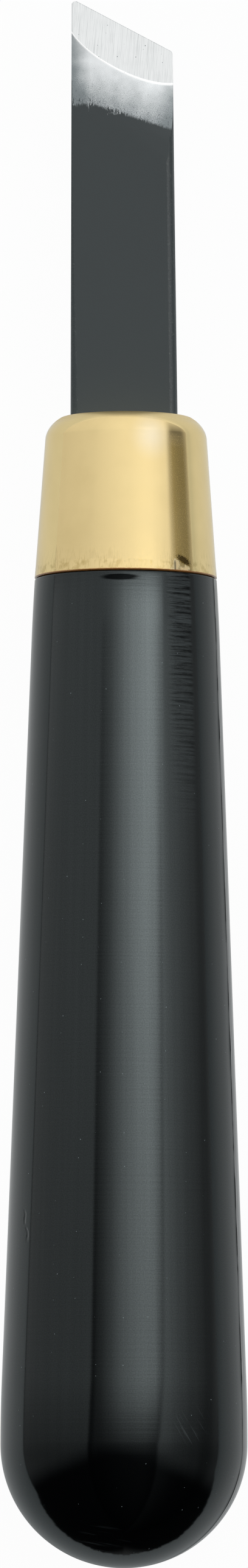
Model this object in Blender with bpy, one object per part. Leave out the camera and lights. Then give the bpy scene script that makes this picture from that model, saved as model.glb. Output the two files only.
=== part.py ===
"""Lino cutting tool: a moulded handle, a drawn ferrule and a skew blade.

Each piece is modelled around the tool's own axis, with the butt at zero height, the tip up and the ground
side of the blade towards -Y. One empty carries them and lays the tool down on the side of its handle, with
the tip towards +Y and the ground side up. Lengths are in metres, angles in degrees.
"""

import math

import bmesh
import bpy
from mathutils import Vector

# Handle: half a ball at the butt, then a straight taper up to the step that the ferrule sits on
HANDLE_LENGTH = 0.0812
BUTT_RADIUS = 0.01017
BUTT_EASE = 0.0053
HANDLE_TAPER = 2.13
NECK_EASE = 0.005

# Ferrule: a tapered cap with a rounded shoulder and a flat top
FERRULE_LENGTH = 0.0136
FERRULE_TAPER = 4.15
FERRULE_WALL = 0.0005
FERRULE_SHOULDER = 0.002

# Blade above the ferrule: the back is flat, the ground side thins towards the tip, and the root is drawn in
BLADE_LENGTH = 0.0349
BLADE_WIDTH = 0.00887
BLADE_TIP_WIDTH = 0.00835
BLADE_SET_OVER = -0.00017
BLADE_THICKNESS = 0.002
BLADE_TIP_THICKNESS = 0.0014
BLADE_EDGE_ROUND = 0.00065
BLADE_ROOT_DRAW = 0.0001

# Cutting edge: a flat bevel along a skewed edge, and a crowned relief behind it
SKEW = 27.6
BEVEL = 20.0
BEVEL_WIDTH = 0.00355
EDGE_LAND = 0.0001
RELIEF_LENGTH = 0.0032
RELIEF_CROWN = 0.00028
RELIEF_SET_OVER = 0.0006

# Tang: the blade's tail in the handle
TANG_LENGTH = 0.032
TANG_WIDTH = 0.005
TANG_END_WIDTH = 0.0025
TANG_THICKNESS = 0.0016
TANG_END_THICKNESS = 0.001
TANG_ROUND = 0.0003

# Fits: the space left between neighbouring pieces, and how far a cut runs past what it cuts
FIT_GAP = 0.0003
CUT_OVERRUN = 0.001

# Facets: the flats touch the true round, and the handle rests on one of them
TURN_STEPS = 36
BALL_STEPS = 12
ARC_STEPS = 5
ROUND_STEPS = 4
RELIEF_STEPS_ACROSS = 24
RELIEF_STEPS_ALONG = 4
LEAST_FILLET = 0.0002
MOST_ROUND_SHARE = 0.48
SMOOTH_ANGLE = 35.0
MERGE_DISTANCE = 1e-7

# Heights along the axis, and slopes, that several pieces share
FACET_SLOPE = math.tan(math.pi / TURN_STEPS)
HANDLE_SLOPE = math.tan(math.radians(HANDLE_TAPER))
FERRULE_LEAN = math.radians(FERRULE_TAPER)
FERRULE_SLOPE = math.tan(FERRULE_LEAN)
RIM_HEIGHT = HANDLE_LENGTH + FIT_GAP
FERRULE_TOP = RIM_HEIGHT + FERRULE_LENGTH
SPIGOT_INSET = FERRULE_WALL + FIT_GAP
SPIGOT_TOP = FERRULE_TOP - SPIGOT_INSET
BLADE_SHOULDER = SPIGOT_TOP + FIT_GAP
TIP_HEIGHT = FERRULE_TOP + BLADE_LENGTH
BLADE_BACK = BLADE_THICKNESS / 2
BLADE_LEFT = BLADE_SET_OVER - BLADE_WIDTH / 2


def clear_scene():
    for obj in list(bpy.data.objects):
        bpy.data.objects.remove(obj, do_unlink=True)


def make_material(name, colour, roughness, metallic):
    material = bpy.data.materials.new(name)
    material.use_nodes = True
    shader = material.node_tree.nodes["Principled BSDF"]
    shader.inputs["Base Color"].default_value = (*colour, 1.0)
    shader.inputs["Roughness"].default_value = roughness
    shader.inputs["Metallic"].default_value = metallic
    return material


def add_object(name, bm, axis):
    """Puts a finished mesh into the scene as an object carried by the tool's axis."""
    bmesh.ops.recalc_face_normals(bm, faces=bm.faces[:])
    mesh = bpy.data.meshes.new(name)
    bm.to_mesh(mesh)
    bm.free()
    mesh.shade_smooth()
    mesh.set_sharp_from_angle(angle=math.radians(SMOOTH_ANGLE))
    obj = bpy.data.objects.new(name, mesh)
    bpy.context.scene.collection.objects.link(obj)
    obj.parent = axis
    return obj


def turn(name, outline, axis):
    """Turns an outline of (radius, height) points, both ends on the axis, into a closed solid."""
    bm = bmesh.new()
    verts = [bm.verts.new((radius, radius * FACET_SLOPE, height)) for radius, height in outline]
    edges = [bm.edges.new(pair) for pair in zip(verts, verts[1:])]
    bmesh.ops.spin(
        bm,
        geom=verts + edges,
        axis=(0, 0, 1),
        cent=(0, 0, 0),
        angle=math.tau,
        steps=TURN_STEPS,
        use_merge=True,
    )
    bmesh.ops.remove_doubles(bm, verts=bm.verts[:], dist=MERGE_DISTANCE)
    return add_object(name, bm, axis)


def loft(rings):
    """Skins a row of rings, which have equally many points, and closes both ends."""
    bm = bmesh.new()
    rows = [[bm.verts.new(point) for point in ring] for ring in rings]
    for low, high in zip(rows, rows[1:]):
        for i in range(len(low)):
            j = (i + 1) % len(low)
            bm.faces.new((low[i], low[j], high[j], high[i]))
    bm.faces.new(list(reversed(rows[0])))
    bm.faces.new(rows[-1])
    return bm


def cut_away(bm, point, normal):
    """Cuts off what lies on the normal's side of a plane, and closes the cut."""
    geometry = bm.verts[:] + bm.edges[:] + bm.faces[:]
    bmesh.ops.bisect_plane(bm, geom=geometry, plane_co=point, plane_no=normal, clear_outer=True)
    rim = [edge for edge in bm.edges if edge.is_boundary]
    bmesh.ops.holes_fill(bm, edges=rim)


def subtract(piece, name, bm, axis):
    """Cuts a shape out of a piece with a Boolean, and keeps the cutter as a wire guide."""
    cutter = add_object(name, bm, axis)
    cutter.display_type = 'WIRE'
    cutter.hide_render = True
    cut = piece.modifiers.new(name, 'BOOLEAN')
    cut.operation = 'DIFFERENCE'
    cut.solver = 'EXACT'
    cut.object = cutter


def arc(centre, radius, start, end, steps):
    """Points on an arc about (radius, height), angles counted up from the outward direction."""
    points = []
    for i in range(steps + 1):
        angle = start + (end - start) * i / steps
        points.append((centre[0] + radius * math.cos(angle), centre[1] + radius * math.sin(angle)))
    return points


def handle_radius(height):
    """The handle's outside between the ball's widest circle and the step under the ferrule."""
    ease_top = BUTT_RADIUS + BUTT_EASE
    if height < ease_top:
        return BUTT_RADIUS - HANDLE_SLOPE * (height - BUTT_RADIUS) ** 2 / (2 * BUTT_EASE)
    radius = BUTT_RADIUS - HANDLE_SLOPE * (BUTT_EASE / 2 + height - ease_top)
    into_neck = max(height - (HANDLE_LENGTH - NECK_EASE), 0.0)
    return radius - (FERRULE_SLOPE - HANDLE_SLOPE) * into_neck ** 2 / (2 * NECK_EASE)


def ferrule_radius(height):
    """The ferrule's tapered outside, flush with the handle at the rim."""
    return handle_radius(HANDLE_LENGTH) - FERRULE_SLOPE * (height - RIM_HEIGHT)


def cap_outline(inset, bottom):
    """The ferrule's outside moved inwards, from the axis at its top down to a height."""
    fillet = max(FERRULE_SHOULDER - inset, LEAST_FILLET)
    centre_height = FERRULE_TOP - inset - fillet
    centre_radius = ferrule_radius(centre_height) - (inset + fillet) / math.cos(FERRULE_LEAN)
    shoulder = arc((centre_radius, centre_height), fillet, math.pi / 2, FERRULE_LEAN, ARC_STEPS)
    side = (ferrule_radius(bottom) - inset / math.cos(FERRULE_LEAN), bottom)
    return [(0.0, FERRULE_TOP - inset), *shoulder, side]


def handle_outline():
    """The handle from the top of its spigot, over the step, down to the butt."""
    neck = [HANDLE_LENGTH - NECK_EASE * i / ARC_STEPS for i in range(ARC_STEPS + 1)]
    ease = [BUTT_RADIUS + BUTT_EASE * (ARC_STEPS - i) / ARC_STEPS for i in range(ARC_STEPS)]
    side = [(handle_radius(height), height) for height in neck + ease]
    ball = arc((0.0, BUTT_RADIUS), BUTT_RADIUS, 0.0, -math.pi / 2, BALL_STEPS)
    ball[-1] = (0.0, 0.0)
    return cap_outline(SPIGOT_INSET, HANDLE_LENGTH) + side + ball


def section(left, right, front, back, rounding, height):
    """A level ring round a bar with rounded corners."""
    corners = (
        (right - rounding, back - rounding),
        (left + rounding, back - rounding),
        (left + rounding, front + rounding),
        (right - rounding, front + rounding),
    )
    ring = []
    for quarter, corner in enumerate(corners):
        start = quarter * math.pi / 2
        for x, y in arc(corner, rounding, start, start + math.pi / 2, ROUND_STEPS):
            ring.append((x, y, height))
    return ring


def blade_share(height):
    """How far up the exposed blade a height is, from 0 at the ferrule to 1 at the tip."""
    return (height - FERRULE_TOP) / BLADE_LENGTH


def blade_right(height):
    return BLADE_LEFT + BLADE_WIDTH + (BLADE_TIP_WIDTH - BLADE_WIDTH) * blade_share(height)


def blade_thickness(height):
    return BLADE_THICKNESS + (BLADE_TIP_THICKNESS - BLADE_THICKNESS) * blade_share(height)


def edge_round():
    """The rounding of the long edges, which the thin end of the blade still has room for."""
    return min(BLADE_EDGE_ROUND, MOST_ROUND_SHARE * min(BLADE_THICKNESS, BLADE_TIP_THICKNESS))


def blade_section(height, gap=0.0):
    """The blade's ring at a height, or that of a slot around it."""
    front = BLADE_BACK - blade_thickness(height)
    return section(
        BLADE_LEFT - gap,
        blade_right(height) + gap,
        front - gap,
        BLADE_BACK + gap,
        edge_round() + gap,
        height,
    )


def tang_section(share, height, gap=0.0):
    """The tang's ring, share 0 at the blade's shoulders and 1 at its end, or its socket's."""
    half_width = (TANG_WIDTH + (TANG_END_WIDTH - TANG_WIDTH) * share) / 2 + gap
    half_thickness = (TANG_THICKNESS + (TANG_END_THICKNESS - TANG_THICKNESS) * share) / 2 + gap
    return section(-half_width, half_width, -half_thickness, half_thickness, TANG_ROUND + gap, height)


def edge_directions():
    """Unit vectors along the cutting edge and square to it, towards the tip."""
    skew = math.radians(SKEW)
    along = Vector((math.cos(skew), 0.0, -math.sin(skew)))
    outward = Vector((math.sin(skew), 0.0, math.cos(skew)))
    return along, outward


def tip_point():
    """The highest point of the cutting edge, where the rounded left side meets the land."""
    rounding = edge_round()
    inset = rounding - math.sqrt(rounding ** 2 - max(rounding - EDGE_LAND, 0.0) ** 2)
    return Vector((BLADE_LEFT + inset, BLADE_BACK, TIP_HEIGHT))


def relief_rings():
    """Rings of the relief's cutter, along the cutting edge and stepping back from it."""
    along, outward = edge_directions()
    half_edge = BLADE_WIDTH / (2 * along.x)
    middle = tip_point() + along * (half_edge + RELIEF_SET_OVER)
    heel = EDGE_LAND + BEVEL_WIDTH * math.tan(math.radians(BEVEL))
    run_out = BEVEL_WIDTH + RELIEF_LENGTH
    run_out_height = (middle - outward * run_out).z
    slope = (blade_thickness(run_out_height) - heel) / RELIEF_LENGTH
    last = run_out + RELIEF_LENGTH
    reach = half_edge + last * math.tan(math.radians(SKEW)) + CUT_OVERRUN
    top = BLADE_THICKNESS + CUT_OVERRUN
    stops = [run_out * i / RELIEF_STEPS_ALONG for i in range(RELIEF_STEPS_ALONG + 1)]
    rings = []
    for back in [-CUT_OVERRUN, *stops, last]:
        ring = []
        fade = max(run_out - back, 0.0) / RELIEF_LENGTH
        for i in range(RELIEF_STEPS_ACROSS + 1):
            across = reach * (2 * i / RELIEF_STEPS_ACROSS - 1)
            crown = RELIEF_CROWN * fade * (across / half_edge) ** 2
            height = heel + slope * (back - BEVEL_WIDTH) - crown
            ring.append(middle + along * across - outward * back - Vector((0, height, 0)))
        for across in (reach, -reach):
            ring.append(middle + along * across - outward * back - Vector((0, top, 0)))
        rings.append(ring)
    return rings


def make_handle(axis):
    handle = turn("handle", handle_outline(), axis)
    handle.data.materials.append(make_material("black_moulded_plastic", (0.012, 0.013, 0.013), 0.22, 0.0))
    overrun = CUT_OVERRUN / TANG_LENGTH
    socket = [
        tang_section(1.0, BLADE_SHOULDER - TANG_LENGTH - FIT_GAP, FIT_GAP),
        tang_section(-overrun, BLADE_SHOULDER + CUT_OVERRUN, FIT_GAP),
    ]
    subtract(handle, "tang_socket_cutter", loft(socket), axis)
    return handle


def make_ferrule(axis):
    outside = cap_outline(0.0, RIM_HEIGHT)
    inside = cap_outline(FERRULE_WALL, RIM_HEIGHT)
    ferrule = turn("ferrule", outside + inside[::-1], axis)
    ferrule.data.materials.append(make_material("drawn_brass", (0.74, 0.56, 0.28), 0.25, 1.0))
    slot = [
        blade_section(FERRULE_TOP - FERRULE_WALL - CUT_OVERRUN, FIT_GAP),
        blade_section(FERRULE_TOP + CUT_OVERRUN, FIT_GAP),
    ]
    subtract(ferrule, "blade_slot_cutter", loft(slot), axis)
    return ferrule


def make_blade(axis):
    rings = [
        tang_section(1.0, BLADE_SHOULDER - TANG_LENGTH),
        tang_section(0.0, BLADE_SHOULDER),
        blade_section(BLADE_SHOULDER, -BLADE_ROOT_DRAW),
        blade_section(FERRULE_TOP + FIT_GAP),
        blade_section(TIP_HEIGHT + CUT_OVERRUN),
    ]
    bm = loft(rings)
    bevel = math.radians(BEVEL)
    outward = edge_directions()[1]
    cut_away(bm, tip_point(), outward)
    bevel_normal = outward * math.sin(bevel) - Vector((0, math.cos(bevel), 0))
    cut_away(bm, tip_point() - Vector((0, EDGE_LAND, 0)), bevel_normal)
    blade = add_object("blade", bm, axis)
    blade.data.materials.append(make_material("coated_steel", (0.055, 0.063, 0.065), 0.5, 0.6))
    subtract(blade, "relief_cutter", loft(relief_rings()), axis)
    return blade


def lay_down(axis, pieces):
    """Rests the tool on the side of its handle, centred over the origin."""
    axis.rotation_euler.x = -math.radians(90 + HANDLE_TAPER)
    bpy.context.view_layer.update()
    graph = bpy.context.evaluated_depsgraph_get()
    points = []
    for piece in pieces:
        shape = piece.evaluated_get(graph)
        points += [shape.matrix_world @ vert.co for vert in shape.data.vertices]
    low = [min(point[i] for point in points) for i in range(3)]
    high = [max(point[i] for point in points) for i in range(3)]
    axis.location = (-(low[0] + high[0]) / 2, -(low[1] + high[1]) / 2, -low[2])
    bpy.context.view_layer.update()


def main():
    clear_scene()
    axis = bpy.data.objects.new("tool_axis", None)
    bpy.context.scene.collection.objects.link(axis)
    pieces = [make_handle(axis), make_ferrule(axis), make_blade(axis)]
    lay_down(axis, pieces)


main()
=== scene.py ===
"""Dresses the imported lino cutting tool: its moulded handle, drawn brass ferrule and ground, coated blade."""

import math
from functools import partial

import bpy
import numpy as np
from bpy.props import FloatProperty, FloatVectorProperty, PointerProperty
from mathutils import Matrix, Vector


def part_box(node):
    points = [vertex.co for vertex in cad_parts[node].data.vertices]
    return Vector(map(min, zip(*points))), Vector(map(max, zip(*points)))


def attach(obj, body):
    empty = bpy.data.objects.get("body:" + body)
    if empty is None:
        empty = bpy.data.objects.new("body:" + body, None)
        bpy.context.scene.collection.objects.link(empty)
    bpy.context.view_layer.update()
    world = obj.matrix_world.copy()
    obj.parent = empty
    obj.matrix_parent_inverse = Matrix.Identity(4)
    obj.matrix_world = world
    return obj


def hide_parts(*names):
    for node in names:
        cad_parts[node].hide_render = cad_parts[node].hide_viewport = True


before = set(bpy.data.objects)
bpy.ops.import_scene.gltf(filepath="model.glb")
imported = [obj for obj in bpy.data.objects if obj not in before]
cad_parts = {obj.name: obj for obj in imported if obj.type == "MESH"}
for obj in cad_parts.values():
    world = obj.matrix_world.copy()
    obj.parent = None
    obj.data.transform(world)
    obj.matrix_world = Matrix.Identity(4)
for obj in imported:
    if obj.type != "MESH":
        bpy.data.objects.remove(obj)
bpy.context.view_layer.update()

bl_info = {
    "name": "Lino cutting tool",
    "version": (1, 0, 0),
    "blender": (4, 5, 0),
    "location": "3D View > Sidebar > Lino tool",
    "description": "Builds a palm-held lino cutter: moulded handle, drawn ferrule and ground blade",
    "category": "Object",
}

MM = 0.001

# The tool lies on the side of its handle, so its axis leans by the handle's taper
LEAN = math.radians(2.13)
TURN = -(math.pi / 2 + LEAN)

# Rounding of the plain edges at the ferrule, and the gaps at the blade's slot and the spigot
EDGE = 0.1 * MM
SLOT_GAP = 0.03 * MM
SPIGOT_GAP = 0.05 * MM
SPIGOT_LENGTH = 10 * MM
# Share of the way to the ferrule's taper by which the neck bends
NECK_BEND = 0.7

# Facets round the handle and the ferrule, halvings to find a crossing, and rounds for an edge to settle in
HANDLE_FACETS = 220
FERRULE_FACETS = 300
HALVINGS = 40
SETTLING = 12

WHITE = (1, 1, 1, 1)
# Settings of nodes that come back: noise on a skin that is laid flat, and a ramp with soft ends
FLAT = {"noise_dimensions": "2D"}
SOFT = {"interpolation_type": "SMOOTHSTEP"}


def linear(code):
    """Turns an sRGB hex colour to linear red, green, blue and a full alpha."""
    shares = [int(code[i:i + 2], 16) / 255 for i in (1, 3, 5)]
    return (*[s / 12.92 if s <= 0.04045 else ((s + 0.055) / 1.055) ** 2.4 for s in shares], 1.0)


def size(name, description, millimetres):
    length = millimetres * MM
    return FloatProperty(name=name, description=description, default=length, unit="LENGTH", precision=5)


def slant(name, description, degrees):
    return FloatProperty(name=name, description=description, default=math.radians(degrees), subtype="ANGLE")


def colour(name, description, code):
    return FloatVectorProperty(
        name=name, description=description, default=linear(code), size=4, subtype="COLOR", min=0.0, max=1.0
    )


class HandleSettings(bpy.types.PropertyGroup):
    """Sizes and colour of the moulded handle."""

    length: size("Length", "From the butt to the ferrule's rim", 81.45)
    butt_radius: size("Butt radius", "Half the handle's width at the butt", 10.17)
    butt_ease: size("Butt ease", "Length over which the round butt runs into the taper", 5.3)
    taper: slant("Taper", "Half angle of the handle's cone", 2.13)
    neck_ease: size("Neck ease", "Length over which the handle bends in to the ferrule", 5.0)
    skin: size("Skin", "How far the dressed handle stays inside the solid", 0.02)
    seam_angle: slant("Seam angle", "Where the mould parts, from straight up to the right", 73.0)
    seam_height: size("Seam height", "How far the parting line stands out", 0.05)
    seam_width: size("Seam width", "Half width of the parting line", 0.2)
    plastic: colour("Plastic", "The handle's black", "#030405")


class FerruleSettings(bpy.types.PropertyGroup):
    """Sizes and colour of the drawn ferrule."""

    length: size("Length", "From the rim to the flat top", 13.35)
    rim_height: size("Rim height", "From the butt to the rim", 81.5)
    rim_radius: size("Rim radius", "Half the ferrule's width at the rim", 7.538)
    taper: slant("Taper", "Half angle of the ferrule's cone", 4.15)
    wall: size("Wall", "Thickness of the drawn brass", 0.5)
    shoulder: size("Shoulder", "Half width of the ellipse that the shoulder follows", 3.4)
    shoulder_height: size("Shoulder height", "Half height of that ellipse", 2.4)
    shoulder_end: slant("Shoulder end", "How far the shoulder has turned in at the flat top's edge", 58.0)
    top_ease: size("Top ease", "Rounding of the flat top's edge", 0.05)
    lip: size("Lip", "Height of the trimmed lip at the rim", 0.9)
    lip_flare: size("Lip flare", "How far the lip stands out at the rim", 0.015)
    brass: colour("Brass", "The ferrule's metal", "#F7DEA2")


class BladeSettings(bpy.types.PropertyGroup):
    """Sizes and colours of the ground blade."""

    length: size("Length", "From the ferrule's top to the tip", 35.13)
    width: size("Width", "At the ferrule", 8.87)
    tip_width: size("Tip width", "At the tip", 8.35)
    set_over: size("Set over", "How far the blade sits to the right of the axis", -0.17)
    thickness: size("Thickness", "At the ferrule", 2.0)
    tip_thickness: size("Tip thickness", "At the tip, before grinding", 1.4)
    edge_round: size("Edge rounding", "Radius of the long edges", 0.65)
    sharpening: FloatProperty(
        name="Sharpening", description="How soon the roundings die to the tip", default=1.6
    )
    corner: size("Corner", "Radius of the tip's corners", 0.33)
    skew: slant("Skew", "Lean of the cutting edge", 27.95)
    bevel: slant("Bevel", "Slope of the ground bevel", 20.0)
    bevel_width: size("Bevel width", "From the edge to the heel at the middle", 3.55)
    land: size("Land", "Thickness left at the cutting edge", 0.1)
    relief_length: size("Relief length", "From the heel to the coat", 3.2)
    relief_crown: size("Relief crown", "How far the relief falls to its ends", 0.28)
    relief_set_over: size("Relief set over", "How far its crown sits from the edge's middle", 0.97)
    coat: colour("Coat", "The dark coat on the blade", "#394244")
    steel: colour("Steel", "Bare ground steel", "#E9EBEB")


class StageSettings(bpy.types.PropertyGroup):
    """Camera place and floor of the studio."""

    distance: size("Distance", "From the camera to the middle of the tool", 800.0)
    lean: slant("Lean", "How far the camera leans from upright towards the butt", 2.87)
    roll: slant("Roll", "How far the tool leans to the right in the picture", 0.122)
    aside: size("Aside", "How far the camera sits left of the tool's middle", 0.111)
    below: size("Below", "How far the camera sits towards the butt from the tool's middle", 0.469)
    paper: colour("Paper", "The white sheet that the tool lies on", "#EAF2F4")


def in_place(points):
    """Takes points from the tool's own axes, with height up from the butt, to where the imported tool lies."""
    handle = bpy.context.scene.lino_handle
    ease_middle = handle.butt_radius + handle.butt_ease / 2
    rise = handle.butt_radius * math.cos(LEAN) + ease_middle * math.sin(LEAN)
    seat = Matrix.Translation((0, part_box("handle")[0].y, rise)) @ Matrix.Rotation(TURN, 4, "X")
    return np.asarray(points) @ np.array(seat.to_3x3()).T + np.array(seat.translation)


def add_node(tree, kind, *inputs, stops=(), **settings):
    """Adds a node by its kind and sets its fields. A kind in capitals is the operation of a Math node. The
    inputs are sockets, nodes or values, in their order or in a dict by name or number. A ramp gets its stops
    of (place, grey level)."""
    if kind.isupper():
        kind, settings = "Math", {"operation": kind, **settings}
    node = tree.nodes.new("ShaderNode" + kind)
    for field, value in settings.items():
        setattr(node, field, value)
    by_key = inputs[0] if inputs and isinstance(inputs[0], dict) else dict(enumerate(inputs))
    for key, value in by_key.items():
        source = value.outputs[0] if isinstance(value, bpy.types.Node) else value
        if isinstance(source, bpy.types.NodeSocket):
            tree.links.new(source, node.inputs[key])
        else:
            node.inputs[key].default_value = source
    if stops:
        node.color_ramp.elements.remove(node.color_ramp.elements[1])
    for i, (place, level) in enumerate(stops):
        element = node.color_ramp.elements.new(place) if i else node.color_ramp.elements[0]
        element.position = place
        element.color = (level, level, level, 1.0)
    return node


def new_tree(owner):
    """Empties the nodes of a new material or world, and gives the function that adds nodes to it."""
    owner.use_nodes = True
    owner.node_tree.nodes.clear()
    return partial(add_node, owner.node_tree)


def new_material(name):
    """An empty material, what adds its nodes, and a point on the tool in its own axes, in millimetres."""
    material = bpy.data.materials.new(name)
    add = new_tree(material)
    place = add("TexCoord").outputs["Object"]
    seat = {"Location": tuple(in_place([(0, 0, 0)])[0]), "Rotation": (TURN, 0, 0), "Scale": (MM, MM, MM)}
    on_tool = add("Mapping", {"Vector": place, **seat}, vector_type="TEXTURE")
    return material, add, on_tool.outputs["Vector"]


def unrolled(add, on_tool, radius):
    """A round piece's skin laid flat, in millimetres: round to the right from its top line, and up from the
    butt."""
    x, y, height = add("SeparateXYZ", on_tool).outputs
    angle = add("ARCTAN2", x, add("MULTIPLY", y, -1.0))
    around = add("MULTIPLY", angle, radius / MM)
    return add("CombineXYZ", around, height), around, height


def laid_flat(add, on_tool):
    """The blade's face laid flat, in millimetres: across it from the axis, and up from the butt."""
    x, _, z = add("SeparateXYZ", on_tool).outputs
    return add("CombineXYZ", x, z), x, z


def streaks(add, skin, across, along, detail, roughness=0.5):
    """Noise that is drawn out on a skin, with so many streaks to a millimetre across it and along it."""
    drawn = add("Mapping", {"Vector": skin, "Scale": (across, along, 1)})
    return add("TexNoise", {"Vector": drawn, "Scale": 1.0, "Detail": detail, "Roughness": roughness}, **FLAT)


def within(add, *limits, share=1.0):
    """A share that a place gets within limits, each as (value, where it starts, where it is full)."""
    for value, start, full in limits:
        share = add("MapRange", value, start, full, 0.0, share)
    return share


def away_from(add, value, place):
    """How far a value is from a place, to either side."""
    return add("ABSOLUTE", add("SUBTRACT", value, place))


def grains(add, skin, scale, rarest, radius):
    """Round grains on a skin, at most one to a cell and only where the cell's chance is over the rarest."""
    cells = add("TexVoronoi", {"Vector": skin, "Scale": scale}, voronoi_dimensions="2D")
    chance = add("SeparateColor", cells.outputs["Color"])
    largest = add("MapRange", chance, rarest, 1.0, 0.0, radius)
    return add("LESS_THAN", cells.outputs["Distance"], largest)


def add_piece(name, node, verts, faces, materials, crease, marks=()):
    """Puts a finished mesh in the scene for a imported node, smooth but for its creases. Marks are values by
    vertex."""
    mesh = bpy.data.meshes.new(name)
    mesh.from_pydata(in_place(verts).tolist(), [], [face for face, _ in faces])
    for material in materials:
        mesh.materials.append(material)
    mesh.polygons.foreach_set("material_index", [index for _, index in faces])
    for mark, values in marks:
        mesh.attributes.new(mark, "FLOAT", "POINT").data.foreach_set("value", values)
    mesh.validate()
    mesh.shade_smooth()
    mesh.set_sharp_from_angle(angle=math.radians(crease))
    piece = bpy.data.objects.new(name, mesh)
    bpy.context.scene.collection.objects.link(piece)
    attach(piece, "root")
    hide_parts(node)


def strip(low, high, count):
    """Faces between two rings of count points that start at the given indices, in the first material."""
    following = [(i + 1) % count for i in range(count)]
    return [((low + i, low + j, high + j, high + i), 0) for i, j in enumerate(following)]


def ring(angles, radius, height):
    """Points round the axis, to the right from its top line."""
    heights = np.broadcast_to(height, len(angles))
    return np.stack([radius * np.sin(angles), -radius * np.cos(angles), heights], 1)


def cone_radius(handle, height):
    """The handle's outside above its round butt."""
    slope = math.tan(handle.taper)
    eased = handle.butt_radius + handle.butt_ease
    along = np.clip(height - handle.butt_radius, 0, handle.butt_ease)
    radius = handle.butt_radius - slope * along ** 2 / (2 * handle.butt_ease)
    radius -= slope * np.clip(height - eased, 0, None)
    bend = NECK_BEND * (math.tan(bpy.context.scene.lino_ferrule.taper) - slope)
    into_neck = np.clip(height - (handle.length - handle.neck_ease), 0, None)
    return radius - bend * into_neck ** 2 / (2 * handle.neck_ease)


def parting_ridge(handle, x, up, height):
    """How far the mould's parting line lifts the surface at points round the axis."""
    off = x * math.cos(handle.seam_angle) - up * math.sin(handle.seam_angle)
    # Its flash comes and goes in waves of 13 and 5 mm
    uneven = max(0.7 + 0.7 * math.sin(height / (2.1 * MM)) + 0.4 * math.sin(height / (0.83 * MM) + 1), 0)
    off /= handle.seam_width
    flash = uneven * np.exp(-off ** 2)
    step = 0.4 / (1 + np.exp(-off / 0.3)) * np.exp(-(off / 4) ** 2)
    return handle.seam_height * (0.6 * flash + step)


# Marks on the handle, in millimetres: how far up the knock is, the nick's place round and up, and the
# scratches, each with a place on the tool, a reach and a lean in radians
KNOCK = 27.85
NICK = (-0.6, 80.93)
SCRATCHES = (((-1.6, -5.84, 2.0), 2.4, 0.15), ((5.6, -8.4, 11.7), 1.9, 1.05))


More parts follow.
